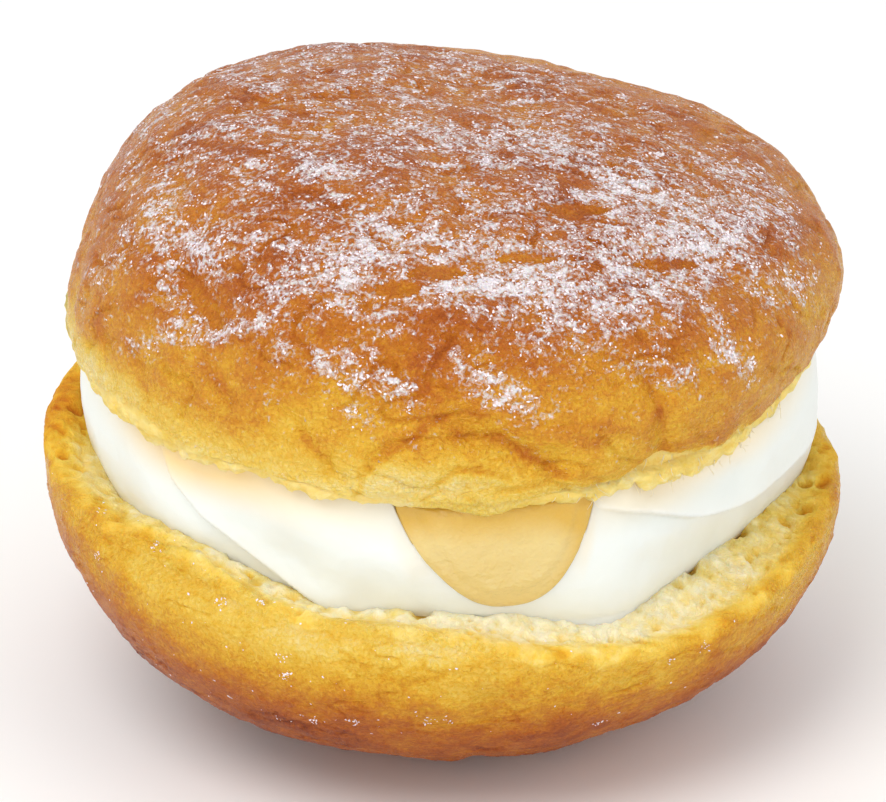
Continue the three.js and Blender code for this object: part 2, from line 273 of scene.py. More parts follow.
def bottom_form(azimuth, row):
    """The smooth shape, from the foot up the wall, over the lip and in under the filling:
    radius, height, latitude on the wall, share of the lip passed and the way it faces."""
    up_wall = np.clip(row / BOTTOM_WALL_ROWS, 0, 1) ** 0.8
    latitude = mix(-90, bottom_wall_end(azimuth), up_wall)
    r, z = bottom_crust(azimuth, latitude)
    over_lip = np.clip((row - BOTTOM_WALL_ROWS) / BOTTOM_LIP_ROWS, 0, 1)
    r = r - BOTTOM_LIP * (1 - np.cos(over_lip * math.pi / 2))
    z = z + BOTTOM_LIP * np.sin(over_lip * math.pi / 2)
    facing = np.radians(mix(latitude, 90, over_lip))
    band_row = row - BOTTOM_WALL_ROWS - BOTTOM_LIP_ROWS
    in_band = np.clip(band_row / BOTTOM_BAND_ROWS, 0, 1)
    hidden_row = band_row - BOTTOM_BAND_ROWS
    hidden_r = np.interp(hidden_row, range(HIDDEN_ROWS + 1), HIDDEN_RADII)
    face_r = np.where(hidden_row > 0, hidden_r, mix(r, HIDDEN_RADII[0], in_band))
    sag = BAND_SAG * smooth(face_r, LEVEL_RADIUS, BAND_RADIUS) * smooth(in_band, 0, 0.3)
    face_z = bottom_cut(azimuth, face_r) - sag
    r = np.where(band_row > 0, face_r, r)
    z = np.where(band_row > 0, face_z, z)
    return r, z, latitude, over_lip, facing


def bottom_surface(azimuth, row):
    """The form with its relief, and how browned it is, with painted shade in its sunk wrinkles
    and bubbles and painted light on its raised crumb threads, where crumb is 1 and crust 0.
    """
    r, z, latitude, over_lip, facing = bottom_form(azimuth, row)
    point = around(azimuth, r, z)
    shows = smooth(r, 32.5, 34.5)  # 0 under the filling
    swell = lumps(point, 13, 2, 1)
    grain = lumps(point, 2.6, 3, 2)
    ragged = lumps(point, 4.0, 3, 3)
    wrinkles = lumps(point * (1, 1, 1.7), 1.5, 3, 8)
    # Rows past the wall over which the skin still laps, left and right of the front.
    skin_rows = (9 * smooth(turned(azimuth, 20), 0, -25) * smooth(turned(azimuth, -75), -12, 12)
                 + 6 * smooth(azimuth, 22, 34) * smooth(azimuth, 165, 120))
    crumb = smooth(row - BOTTOM_WALL_ROWS - skin_rows + 7 * ragged, -5, 5)
    holes = bubbles(point, 3.0, 0.3, 4)
    pores = bubbles(point, 1.5, 0.45, 7)
    fibres = lumps(point * (1, 1, 1.6), 1.3, 4, 6)
    drawn = wrinkled(point * (1, 1, 2.4), 6, 40) * (1 - crumb)
    raised = soft_lines(point, BOTTOM_RELIEF, on_bottom_crust) * (1 - over_lip) - 0.18 * drawn
    rough_skin = 0.4 * swell + 0.16 * grain + 0.12 * wrinkles
    raised += (1 - crumb) * rough_skin * smooth(latitude, -80, -60)
    loose = crumb * shows * (0.25 + 0.75 * smooth(r, 43, 40.5))
    raised += loose * (0.25 * ragged + 0.2 * grain + 0.35 * fibres - 1.3 * holes - 0.45 * pores)
    heap = humps(azimuth, 0, BOTTOM_HEAPS) * smooth(r, 43, 38.5) + 0.9 * smooth(r, 40, 36.5)
    raised += crumb * shows * heap
    z = np.maximum(0, z + raised * np.sin(facing))
    point = around(azimuth, r + raised * np.cos(facing), z)

    # The waist saw little fat and the underside lay in it.
    low = -latitude
    brown_and_shading = 0.34 + 0.13 * smooth(low, -10, 8)
    brown_and_shading = brown_and_shading + 0.35 * smooth(low + 6 * hump(azimuth, -38, 26), 5, 33)
    brown_and_shading = humps(azimuth, brown_and_shading, BOTTOM_BROWNING)
    # Painted shade: the sunk drawn wrinkles are made browner, for the shade in them.
    brown_and_shading = brown_and_shading + 0.12 * swell + 0.08 * grain + 0.05 * wrinkles + 0.07 * drawn
    inside = humps(azimuth, 0.06, CUT_BROWNING) + 0.16 * smooth(r, 39, 42.5)
    # Painted shade and light: browner in the sunk bubbles and pores, paler on the raised threads.
    inside = inside + 0.24 * holes + 0.14 * pores - 0.08 * fibres + 0.05 * ragged
    return point, {"browning_and_shading": mix(brown_and_shading, inside, crumb), "crumb": crumb}


bottom_rows = BOTTOM_WALL_ROWS + BOTTOM_LIP_ROWS + BOTTOM_BAND_ROWS + HIDDEN_ROWS
bottom_half = round_body("doughnut_bottom", bottom_rows, bottom_surface)


def linear(colour):
    """An sRGB hex colour as the linear values that a shader takes."""
    channels = [int(colour[at:at + 2], 16) / 255 for at in (1, 3, 5)]
    return (*[c / 12.92 if c <= 0.04045 else ((c + 0.055) / 1.055) ** 2.4 for c in channels], 1)


def add_node(tree, kind, sockets=(), **settings):
    """Adds a shader node with its settings; a socket gets a value or a link."""
    made = tree.nodes.new("ShaderNode" + kind)
    for name, value in settings.items():
        setattr(made, name, value)
    for name, value in dict(sockets).items():
        if isinstance(value, bpy.types.NodeSocket):
            tree.links.new(value, made.inputs[name])
        else:
            made.inputs[name].default_value = value
    return made


# Fried dough: an oily, slightly glossy crust with a fine grain, yellow where it saw little fat
# and orange-brown where it fried longest. Torn crumb is pale, dull and lets light in.
DOUGH_COLOURS = (
    (0.0, "#FFF1CA"), (0.14, "#FCDF8B"), (0.27, "#F6CE58"), (0.4, "#EDB734"), (0.52, "#DE9923"),
    (0.64, "#CC7A1B"), (0.76, "#B96015"), (0.88, "#99450F"), (1.0, "#6C2B0B"))
# Pattern sizes in metres. The crust's real grain is about 0.1 mm and the crumb's real threads
# are about 0.3 mm, too fine to show from here, so both are drawn coarser.
MOTTLE_SIZE = 0.0045
CRUST_GRAIN_SIZE = 0.0004
CRUMB_THREAD_SIZE = 0.0011
DOUGH_RELIEF = 0.0007  # depth of the bump
# What the two noises add to the browning. The grain's high spots, which the bump raises, are
# painted paler and its low spots darker: painted light and shade on the crust's grain and the
# crumb's threads. Both noises are 0.5 on average, so with the shift the dough is 0.025 paler
# than its browning says.
MOTTLE_BROWNING = 0.36
GRAIN_LIGHT_AND_SHADE = -0.4
BROWNING_SHIFT = -0.005


def dough_nodes(tree):
    """The dough's colour, roughness and bump, from the browning_and_shading and crumb of each
    point; the colour also paints light and shade on the grain's high and low spots.
    """
    place = add_node(tree, "TexCoord").outputs["Object"]
    browning_and_shading = add_node(tree, "Attribute", attribute_name="browning_and_shading").outputs["Fac"]
    crumb = add_node(tree, "Attribute", attribute_name="crumb").outputs["Fac"]
    flattened = add_node(tree, "VectorMath", {0: place, 1: (1, 1, 2.2)},
                         operation="MULTIPLY").outputs[0]
    mottle = add_node(tree, "TexNoise", {"Vector": flattened, "Scale": 1 / MOTTLE_SIZE, "Detail": 6,
                                         "Roughness": 0.7, "Distortion": 0.8}).outputs["Fac"]
    grain = add_node(tree, "TexNoise", {"Vector": place, "Scale": 1 / CRUST_GRAIN_SIZE, "Detail": 3,
                                        "Roughness": 0.6, "Distortion": 0.5}).outputs["Fac"]
    fibres = add_node(tree, "TexNoise", {"Vector": place, "Scale": 1 / CRUMB_THREAD_SIZE,
                                         "Detail": 4, "Roughness": 0.75,
                                         "Distortion": 1.2}).outputs["Fac"]
    with_mottle = add_node(tree, "Math", {0: mottle, 1: MOTTLE_BROWNING, 2: browning_and_shading},
                           operation="MULTIPLY_ADD").outputs[0]
    threads = add_node(tree, "MapRange", {"Value": fibres, "To Min": 0.2, "To Max": 0.8}).outputs[0]
    fine = add_node(tree, "Mix", {0: crumb, 2: grain, 3: threads}, data_type="FLOAT").outputs[0]
    # Painted light and shade: the grain's and threads' raised spots paler, their hollows darker.
    with_grain = add_node(tree, "Math", {0: fine, 1: GRAIN_LIGHT_AND_SHADE, 2: with_mottle},
                          operation="MULTIPLY_ADD").outputs[0]
    brown_and_shading = add_node(tree, "Math", {0: with_grain, 1: BROWNING_SHIFT}, operation="ADD").outputs[0]
    ramp = add_node(tree, "ValToRGB", {"Fac": brown_and_shading})
    stops = ramp.color_ramp.elements
    for at, colour in DOUGH_COLOURS[1:-1]:
        stops.new(at)
    for stop, (at, colour) in zip(stops, DOUGH_COLOURS):
        stop.position = at
        stop.color = linear(colour)
    rough = add_node(tree, "MapRange", {"Value": crumb, "To Min": 0.27, "To Max": 0.9}).outputs[0]
    pebbles = add_node(tree, "Math", {0: grain, 1: 1.5, 2: mottle},
                       operation="MULTIPLY_ADD").outputs[0]
    relief = add_node(tree, "Mix", {0: crumb, 2: pebbles, 3: fibres}, data_type="FLOAT").outputs[0]
    bump = add_node(tree, "Bump", {"Height": relief, "Strength": 0.85,
                                   "Distance": DOUGH_RELIEF}).outputs[0]
    return ramp.outputs["Color"], rough, bump


def new_material(name, **settings):
    """A material with one shader, whose sockets are named in small letters."""
    material = bpy.data.materials.new(name)
    material.use_nodes = True
    shader = material.node_tree.nodes["Principled BSDF"]
    for socket, value in settings.items():
        shader.inputs[socket.replace("_", " ").title()].default_value = value
    return material, material.node_tree, shader


fried_dough, tree, shader = new_material(
    "fried_dough", subsurface_weight=0.3, subsurface_radius=(1, 0.6, 0.25), subsurface_scale=0.003)
shader.inputs["Specular IOR Level"].default_value = 0.2
colour, rough, bump = dough_nodes(tree)
tree.links.new(colour, shader.inputs["Base Color"])
tree.links.new(rough, shader.inputs["Roughness"])
tree.links.new(bump, shader.inputs["Normal"])
bottom_half.data.materials.append(fried_dough)

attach(bottom_half, "root")
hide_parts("bottom_half")

# ---- top half ----
# The other half of the round, laid back on the filling. Its crown swelled most and fried
# darkest; it has slack creases, a folded front lip and, round its edge, the pale waist.

TOP_WIDTH = 83.2
TOP_SHIFT = 0.8  # the top half sits this far to the right
CROWN = 66.6  # height of the middle of the crown
CROWN_TILT = 0.11  # how fast the crown falls towards the right
TOP_BELLY = 45  # height of the widest part
TOP_BELLY_TILT = 3.8  # how much higher the widest part is on the right
TOP_CUT = 41.5  # height of the cut face round its middle
TOP_RIM = 39.4  # height of the rim
TOP_RIM_IN = 2  # how far the rim lies inside the widest part
TOP_LIP = 1.2  # rounding over the rim
TOP_SQUARENESS = 2.8
CRUST_EDGE = 42.3  # height where the browned crust ends over the pale waist
TOP_RIM_HUMPS = ((-105, 38, 5.2), (-27, 9, 0.9), (95, 34, 4.6), (180, 45, 4))
TOP_SQUARENESS_HUMPS = ((-110, 35, 1.1), (100, 35, 0.5), (180, 35, 0.3))
CRUST_EDGE_HUMPS = ((1, 9, 2.5), (32, 2.5, 0.6), (22, 5, -1.2), (-35, 22, 2.5),
                    (-56, 12, 1.5), (-85, 22, 4), (180, 50, 3), (110, 25, 1.5))
TOP_HANGING_HUMPS = ((46, 14, 2.2), (6.5, 3.5, 0.9), (-68, 12, 0.8))  # where the lip hangs lower
TOP_BAND_ROWS = 20
TOP_LIP_ROWS = 6
TOP_CROWN_ROWS = 165


def top_belly(azimuth):
    return TOP_BELLY + TOP_BELLY_TILT * np.sin(np.radians(azimuth))


def top_rim(azimuth):
    return humps(azimuth, TOP_RIM, TOP_RIM_HUMPS)


def top_crust(azimuth, latitude):
    """Radius and height of the crust's smooth profile."""
    squareness = humps(azimuth, TOP_SQUARENESS, TOP_SQUARENESS_HUMPS)
    sideways = np.sin(np.radians(azimuth))
    inward = np.maximum(0, np.cos(np.radians(latitude)))
    r = (TOP_WIDTH / 2 + TOP_SHIFT * sideways) * inward ** (2 / squareness)
    crown = CROWN - CROWN_TILT * r * sideways
    return r, mix(top_belly(azimuth), crown, np.sin(np.radians(latitude)))


def on_top_crust(azimuth, latitude):
    return around(azimuth, *top_crust(azimuth, latitude))


def top_wall_start(azimuth):
    """Latitude at which the crust begins, over the lip."""
    crown = CROWN - CROWN_TILT * TOP_WIDTH / 2 * np.sin(np.radians(azimuth))
    rise = (top_rim(azimuth) + TOP_LIP - top_belly(azimuth)) / (crown - top_belly(azimuth))
    return np.degrees(np.arcsin(rise))


def top_cut(azimuth, r):
    return cut_face(r, TOP_CUT, TOP_WIDTH / 2 - TOP_RIM_IN, top_rim(azimuth))


# Creases, swellings and hollows of the crust.
TOP_RELIEF = (
    ((2, 10), (15, -5), 1.5, -1.2),  # crease over the front lip
    ((14, -8), (24, -10), 1.6, 0.8),  # the lip below it
    ((-10, 1), (-3, 2), 3, 1),  # round cheek beside the crease
    ((31, 18), (33, -14), 1.0, -0.9),  # upright fold on the right
    ((38, 4), (52, 6), 3.5, 0.6),  # swelling beyond it
    ((-56, 40), (-38, 29), 2.2, -1),  # valley on the left shoulder
    ((-68, 14), (-60, 40), 3.5, 0.8),  # ridge outside it
    ((-80, 58), (-52, 47), 1.8, -0.6),  # crease above it
    ((-24, 40), (2, 42), 2.4, 0.6),  # front edge of the crown
    ((38, 49), (54, 38), 1.8, -0.7),  # arched crease on the right
    ((108, 36), (122, 38), 5, 1.1),  # swellings on the right shoulder
    ((84, 10), (92, 6), 3, 0.5),
    ((-100, 20), (-88, 45), 7, -0.5),  # flatter left shoulder
    ((-35, 62), (10, 55), 1.8, -0.4),  # shallow creases of the crown
    ((60, 72), (25, 60), 1.8, -0.4),
)
# Narrow creases, whose steep sides the sugar slid off.
CREASES = (
    ((-7, 49), (4, 50.5), 0.9, 0.7), ((-12, 44), (-4, 45.5), 0.8, 0.7),
    ((11, 55), (24, 53.5), 0.6, 0.6), ((30, 67), (46, 64), 0.9, 0.7),
    ((41, 73), (54, 71), 0.9, 0.4), ((22, 77), (48, 75), 2.4, 0.3),
    ((150, 89), (40, 88), 0.8, 0.4), ((-27, 74), (-21, 75), 0.8, 0.3),
    ((-94, 64), (-88, 71), 1.2, 0.35), ((-80, 59), (-66, 67), 1.2, 0.35),
    ((39, 49), (52, 43), 0.8, 0.6), ((-50, 37), (-38, 28), 1.0, 0.6),
    ((-8, 38), (2, 34), 1.0, 0.3), ((100, 60), (120, 45), 1.2, 0.4),
)
# Folds of slack skin over the front lip, sunk and painted browner in their depth: painted shade.
SKIN_FOLDS = (
    ((-12, -8), (-11.5, -1), 0.35, 0.6), ((-11.5, -1), (-8, 5), 0.35, 0.7),
    ((-8, 5), (-3, 10), 0.35, 0.6), ((-3, 11), (0, 14), 0.35, 0.4),
    ((-1, -5), (2, -1), 0.3, 0.6), ((2, -1), (5, -2), 0.3, 0.6),
    ((5, -2), (9, -6), 0.3, 0.5), ((2, 8.5), (8, 6), 0.4, 0.6),
    ((8, 6), (12, 0), 0.4, 0.7), ((12, 0), (17, -9), 0.4, 0.7),
    ((8, -10), (15, -10), 0.3, 0.4), ((31, 16), (32, 4), 0.4, 0.35),
    ((32, 4), (34, -15), 0.35, 0.6), ((-21, 9), (-16, 0), 0.5, 0.4),
    ((17, 7), (22, -1), 0.6, 0.3), ((-39, 20), (-33, 13), 0.6, 0.4),
    ((-55, 17), (-48, 8), 0.6, 0.4), ((-65, 22), (-60, 11), 0.6, 0.35),
)
# Drifts of sugar: where it lies thickest, on ledges and at the crown's front.
DRIFTS = (
    ((-1, 46), (21, 48), 1.8, 0.5), ((43, 52), (63, 50), 4.2, 0.42),
    ((9, 36), (26, 34), 4, 0.2), ((26, 37), (43, 39), 4, 0.22),
    ((29, 44), (34, 38), 3, 0.2), ((5, 58), (25, 57), 1.0, 0.4),
    ((-22, 49), (-11, 41), 2.5, 0.3), ((-29, 40), (-18, 45), 2.0, 0.35),
    ((-53, 40), (-46, 43), 1.6, 0.45), ((-15, 57), (-6, 59), 2.2, 0.35),
    ((0, 87), (60, 80), 3, 0.2), ((-42, 69), (-32, 72), 1.2, 0.35),
    ((70, 85), (60, 68), 1.2, 0.35), ((36, 70), (49, 68), 0.8, 0.45),
    ((54, 67), (68, 65), 2.2, 0.25), ((88, 56), (91, 40), 2, 0.3),
    ((78, 45), (78, 33), 2.5, 0.3), ((59, 26), (67, 19), 2.2, 0.4),
    ((55, 42), (72, 30), 3.5, 0.18), ((46, 35), (45, 17), 0.8, 0.5),
    ((45, 17), (48, 5), 1.9, 0.45), ((30, 20), (36, 14), 1.4, 0.4),
    ((4, 22), (14, 13), 1.5, 0.5), ((2, 27), (9, 20), 1.2, 0.4),
    ((-17, 27), (-6, 20), 1.5, 0.45), ((-13, 19), (-6, 20), 1.1, 0.42),
    ((-13, 14), (-10, 12), 0.7, 0.4), ((-26, 26), (-16, 27), 0.9, 0.5),
    ((-42, 26), (-28, 32), 1.7, 0.45), ((-52, 31), (-40, 29), 1.4, 0.5),
    ((-72, 20), (-62, 38), 2.6, 0.4), ((-57, 15), (-47, 22), 0.9, 0.4),
)


def crust_edge(azimuth):
    """Height where the browned crust ends over the pale waist."""
    return humps(azimuth, CRUST_EDGE + 1.5 * smooth(azimuth, 40, 75), CRUST_EDGE_HUMPS)


def top_form(azimuth, row):
    """The smooth shape, from under the filling's middle out to the rim, over the lip and up to
    the crown: radius, height, latitude on the wall, the way it faces and whether it is wall."""
    face_row = row - HIDDEN_ROWS
    start = top_wall_start(azimuth)
    edge, _ = top_crust(azimuth, start)
    hidden_r = np.interp(row, range(HIDDEN_ROWS + 1), HIDDEN_RADII[::-1])
    band_r = mix(HIDDEN_RADII[0], edge - TOP_LIP, np.clip(face_row / TOP_BAND_ROWS, 0, 1))
    face_r = np.where(face_row < 0, hidden_r, band_r)
    lip_row = face_row - TOP_BAND_ROWS
    over_lip = np.clip(lip_row / TOP_LIP_ROWS, 0, 1)
    lip_r = edge - TOP_LIP * (1 - np.sin(over_lip * math.pi / 2))
    lip_z = top_rim(azimuth) + TOP_LIP * (1 - np.cos(over_lip * math.pi / 2))
    wall_row = lip_row - TOP_LIP_ROWS
    latitude = mix(start, 90, np.clip(wall_row / TOP_CROWN_ROWS, 0, 1) ** 1.1)
    wall = wall_row > 0
    r, z = top_crust(azimuth, latitude)
    r = np.where(wall, r, np.where(lip_row > 0, lip_r, face_r))
    z = np.where(wall, z, np.where(lip_row > 0, lip_z, top_cut(azimuth, face_r)))
    facing = np.radians(np.where(wall, latitude, mix(-90, start, over_lip)))
    return r, z, latitude, facing, wall


def top_surface(azimuth, row):
    """The form with its relief, how browned it is, with painted shade in its sunk folds and
    wrinkles and painted light on its raised torn crumb, where crumb is 1 and crust 0, and how
    densely the sugar lies."""
    r, z, latitude, facing, wall = top_form(azimuth, row)
    on_wall = wall.astype(float)
    point = around(azimuth, r, z)
    shows = smooth(r, 34, 38)  # 0 over the filling
    swell = lumps(point, 11, 2, 11)
    dents = lumps(point * (1, 1.3, 1.6), 5, 3, 16)
    drawn = wrinkled(point * (1, 1.5, 1.7), 8, 42)
    grain = lumps(point, 2.4, 3, 12)
    ragged = lumps(point, 3.0, 3, 13)
    frayed = lumps(point, 1.4, 2, 15)

    # On the right the crust broke off with a sharp edge over the torn crumb; at the front the
    # skin reaches the very rim.
    on_right = smooth(azimuth, 10, 24) * smooth(azimuth, 150, 120)
    under = crust_edge(azimuth) + mix(0.9, 0.5, on_right) * ragged - z
    sharp = mix(2.4, 0.25, on_right)
    pale = np.where(wall, smooth(under, -sharp, sharp), 1)
    torn = np.where(wall, smooth(under, mix(2.8, 0, on_right), mix(4, 0.7, on_right)), 1)
    skin = hump(azimuth, 4, 12) * (1 - on_right)
    crumb = pale * torn * (1 - 0.95 * skin)

    creases = soft_lines(point, CREASES, on_top_crust, pointed=True)
    folds = np.clip(soft_lines(point, SKIN_FOLDS, on_top_crust), 0, 0.6) * on_wall
    raised = soft_lines(point, TOP_RELIEF, on_top_crust) * on_wall
    raised += on_wall * (0.4 * swell + 0.3 * dents + 0.12 * grain - 0.4 * creases - 0.4 * folds
                         - 0.3 * drawn)
    raised += crumb * np.where(wall, 1, shows) * (0.2 * ragged + 0.3 * frayed)
    raised -= 0.7 * smooth(under, 0, 0.5) * on_wall * on_right
    point = around(azimuth, r + raised * np.cos(facing), z + raised * np.sin(facing))
    near_lip = smooth(z - top_rim(azimuth), 2.4, 0) * shows
    uneven = (0.45 * ragged + 0.45 * frayed) * (1 - 0.6 * skin)
    hanging = humps(azimuth, 0, TOP_HANGING_HUMPS) + uneven
    point = point - around(azimuth, 0, near_lip * hanging)

    # The crown lay in the fat longest; a patch of its left shoulder and the back stayed paler.
    height = smooth(latitude, 2, 48)
    brown_and_shading = 0.49 + 0.25 * height + 0.09 * swell + 0.06 * grain + 0.04 * dents
    brown_and_shading -= 0.12 * hump(azimuth, -62, 14) * smooth(np.abs(latitude - 50), 14, 4)
    brown_and_shading += 0.07 * smooth(azimuth, 20, 50) * (azimuth < 150) * (1 - height)
    brown_and_shading -= 0.1 * hump(azimuth, 170, 45) * smooth(latitude, 70, 55)
    brown_and_shading -= 0.05 * hump(azimuth, 20, 9) * smooth(latitude, 3, -5)
    # Painted shade: the sunk skin folds and drawn wrinkles are made browner, for the shade in them.
    brown_and_shading = mix(brown_and_shading, 0.23 + 0.1 * swell, pale) + 0.22 * folds + 0.05 * drawn

    # The sugar fell from above, less towards the back, and slid off creases and steep sides.
    patches = lumps(point, 6, 3, 14)
    wisps = lumps(point * (1, 1.5, 1.5), 1.9, 4, 17)
    drifts = np.clip(1.5 * soft_lines(point, DRIFTS, on_top_crust), 0, 0.85)
    dusting = 0.26 * smooth(latitude, 28, 48) + 0.1 * smooth(latitude, 8, 30) + 0.1 * patches
    dusting *= 1 - 0.8 * hump(azimuth, 170, 45) * smooth(latitude, 70, 58)
    dusting = mix(dusting, mix(0.5, 0.68, smooth(latitude, 32, 50)), drifts)
    dusting += 0.3 * wisps - 0.2 * drawn
    dusting -= 0.5 * smooth(creases + 0.15 * wisps, 0.2, 0.55)
    dusting *= 1 - pale
    # Painted light: the torn crumb is paler where its frayed relief stands up.
    return point, {"browning_and_shading": mix(brown_and_shading, 0.2 - 0.06 * frayed, crumb), "crumb": crumb,
                   "dusting": np.clip(dusting * on_wall, 0, 0.9)}


top_rows = HIDDEN_ROWS + TOP_BAND_ROWS + TOP_LIP_ROWS + TOP_CROWN_ROWS
top_half = round_body("doughnut_top", top_rows, top_surface)

# The same fried dough, with a film of powdered sugar: dry grains that scatter all light, in
# clots about half a millimetre across, thinner where they slid off or drank the crust's fat.
# Real grains are under 0.05 mm, too fine to show, so the film's grain is drawn coarser.
SUGAR_CLOT_SIZE = 0.0007
SUGAR_FILM_GRAIN_SIZE = 0.0004
SUGAR_FILM_RELIEF = 0.00025

dusted_dough, tree, shader = new_material(
    "dusted_fried_dough", subsurface_weight=0.3, subsurface_radius=(1, 0.6, 0.25),
    subsurface_scale=0.003)
shader.inputs["Specular IOR Level"].default_value = 0.3
colour, rough, bump = dough_nodes(tree)
place = add_node(tree, "TexCoord").outputs["Object"]
dusting = add_node(tree, "Attribute", attribute_name="dusting").outputs["Fac"]
clots = add_node(tree, "TexNoise", {"Vector": place, "Scale": 1 / SUGAR_CLOT_SIZE, "Detail": 4,
                                    "Roughness": 0.7, "Distortion": 0.8}).outputs["Fac"]
grains = add_node(tree, "TexNoise", {"Vector": place, "Scale": 1 / SUGAR_FILM_GRAIN_SIZE,
                                     "Detail": 2}).outputs["Fac"]
with_clots = add_node(tree, "Math", {0: dusting, 1: 0.55, 2: clots},
                      operation="MULTIPLY_ADD").outputs[0]
cover = add_node(tree, "Math", {0: grains, 1: 0.5, 2: with_clots},
                 operation="MULTIPLY_ADD").outputs[0]
film = add_node(tree, "MapRange", {"Value": cover, "From Min": 0.9, "From Max": 1.2},
                interpolation_type="SMOOTHSTEP").outputs[0]
sugared = add_node(tree, "Mix", {0: film, 6: colour, 7: linear("#FFF6F9")},
                   data_type="RGBA").outputs[2]
dry = add_node(tree, "Mix", {0: film, 2: rough, 3: 0.95}, data_type="FLOAT").outputs[0]
heap = add_node(tree, "Bump", {"Height": film, "Strength": 0.6, "Distance": SUGAR_FILM_RELIEF,
                               "Normal": bump}).outputs[0]
tree.links.new(sugared, shader.inputs["Base Color"])
tree.links.new(dry, shader.inputs["Roughness"])
tree.links.new(heap, shader.inputs["Normal"])
top_half.data.materials.append(dusted_dough)

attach(top_half, "root")
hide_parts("top_half")

# ---- powdered sugar ----
# The thicker clumps of the sugar that was sifted over the crown, pressed from dry grains. They
# lie where the film of sugar is dense, and some fell on the bottom half in little heaps.

SUGAR_CLUMPS = 8500
CLUMP_RADII = (0.05, 0.16)
THIN_FILM = 0.2  # no clumps where the film is thinner than this
FALLEN_CLUMPS = 300
FALLEN_RADII = (0.05, 0.14)
FALLEN_HEAPS = 18
FALLEN_HUMPS = ((-38, 28, 1), (15, 30, 0.7))  # the sides of the bottom half that sugar reached
CLUMP_STRAY = 0.25  # how far a clump may lie from the middle of its face
CLUMP_GRAIN_SIZE = 0.0002  # metres; coarser than the real grains, which don't show
luck = np.random.default_rng(7)


def face_values(piece, fact):
    """A fact of each face's first corner."""
    mesh = piece.data
    value = np.empty(len(mesh.vertices))
    mesh.attributes[fact].data.foreach_get("value", value)
    corner = np.empty(len(mesh.loops), int)
    mesh.loops.foreach_get("vertex_index", corner)
    start = np.empty(len(mesh.polygons), int)
    mesh.polygons.foreach_get("loop_start", start)
    return value[corner[start]]


def face_places(piece):
    """Middle, normal and area of each face, in millimetres."""
    faces = piece.data.polygons
    middle, normal, area = np.empty(3 * len(faces)), np.empty(3 * len(faces)), np.empty(len(faces))
    faces.foreach_get("center", middle)
    faces.foreach_get("normal", normal)
    faces.foreach_get("area", area)
    return 1000 * middle.reshape(-1, 3), normal.reshape(-1, 3), 1e6 * area


def round_axis(place):
    """Azimuth of each place and its distance from the upright axis."""
    x, y, _ = place.T
    return np.degrees(np.arctan2(x, -y)), np.hypot(x, y)


def repeated(name, bm, count):
    """A piece with a small mesh many times over, and its points, one row for each copy."""
    corners = len(bm.verts)
    while len(bm.verts) < corners * count:
        bmesh.ops.duplicate(bm, geom=bm.verts[:] + bm.edges[:] + bm.faces[:])
    bm.verts.ensure_lookup_table()
    bmesh.ops.delete(bm, geom=bm.verts[corners * count:], context="VERTS")
    piece = new_piece(name, bm)
    return piece, vertex_places(piece).reshape(count, corners, 3)


def strew(name, piece, count, chance, size, flatness, uneven):
    """Lays small uneven lumps on a piece, each turned and stretched by chance."""
    middle, normal, area = face_places(piece)
    weight = area * chance
    chosen = luck.choice(len(weight), count, p=weight / weight.sum())
    bm = bmesh.new()
    bmesh.ops.create_icosphere(bm, subdivisions=1, radius=1)
    made, lump = repeated(name, bm, count)
    lump = lump * (1 + luck.uniform(-uneven, uneven, (*lump.shape[:2], 1)))
    upright = normal[chosen]
    side = np.cross(upright, luck.normal(size=(count, 3)))
    side /= np.linalg.norm(side, axis=1, keepdims=True)
    across = np.cross(upright, side)
    radius = luck.uniform(*size, (count, 1)) * luck.uniform(0.6, 1, (count, 1))
    long = radius * luck.uniform(1, 2, (count, 1))
    grown = (lump[:, :, :1] * (side * long)[:, None] + lump[:, :, 1:2] * (across * radius)[:, None]
             + lump[:, :, 2:] * (upright * radius * flatness)[:, None])
    stray = luck.uniform(-CLUMP_STRAY, CLUMP_STRAY, (count, 1)) * side
    stray = stray + luck.uniform(-CLUMP_STRAY, CLUMP_STRAY, (count, 1)) * across
    foot = middle[chosen] + stray + upright * radius * flatness * 0.5
    move_vertices(made, foot[:, None] + grown)
    return made


dusting = face_values(top_half, "dusting")
sugar_clumps = strew(
    "powdered_sugar", top_half, SUGAR_CLUMPS, np.clip(dusting - THIN_FILM, 0, 1) ** 1.5,
    CLUMP_RADII, flatness=0.5, uneven=0.3)

bottom_middle, _, bottom_area = face_places(bottom_half)
turn, from_axis = round_axis(bottom_middle)
reached = smooth(bottom_middle[:, 2], 4, 7) * (from_axis > 39) * humps(turn, 0, FALLEN_HUMPS)
weight = bottom_area * reached
heaps = bottom_middle[luck.choice(len(bottom_middle), FALLEN_HEAPS, p=weight / weight.sum())]
away = np.min([np.linalg.norm(bottom_middle - heap, axis=1) for heap in heaps], axis=0)
low_edge = smooth(bottom_middle[:, 2], 12, 7)
fallen_clumps = strew(
    "fallen_sugar", bottom_half, FALLEN_CLUMPS,
    reached * (np.exp(-(away / 0.5) ** 2) + 0.004 + 0.03 * low_edge),
    FALLEN_RADII, flatness=0.3, uneven=0.5)

# Powdered sugar: sucrose milled to dust, dry, matt and white, every grain scatters light.
sugar, tree, shader = new_material(
    "powdered_sugar", base_color=linear("#FBF2F5"), roughness=0.95)
place = add_node(tree, "TexCoord").outputs["Object"]
grain = add_node(tree, "TexNoise", {"Vector": place, "Scale": 1 / CLUMP_GRAIN_SIZE}).outputs["Fac"]
bump = add_node(tree, "Bump", {"Height": grain, "Strength": 0.5, "Distance": 0.0001}).outputs[0]
tree.links.new(bump, shader.inputs["Normal"])
for clumps in (sugar_clumps, fallen_clumps):
    clumps.data.materials.append(sugar)
    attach(clumps, "root")

# ---- torn fibres ----
# Threads of gluten that stretched and snapped when the dough was pulled apart. They are fine
# strands of the dough itself and hang from the torn crumb under the right edge of the crust.

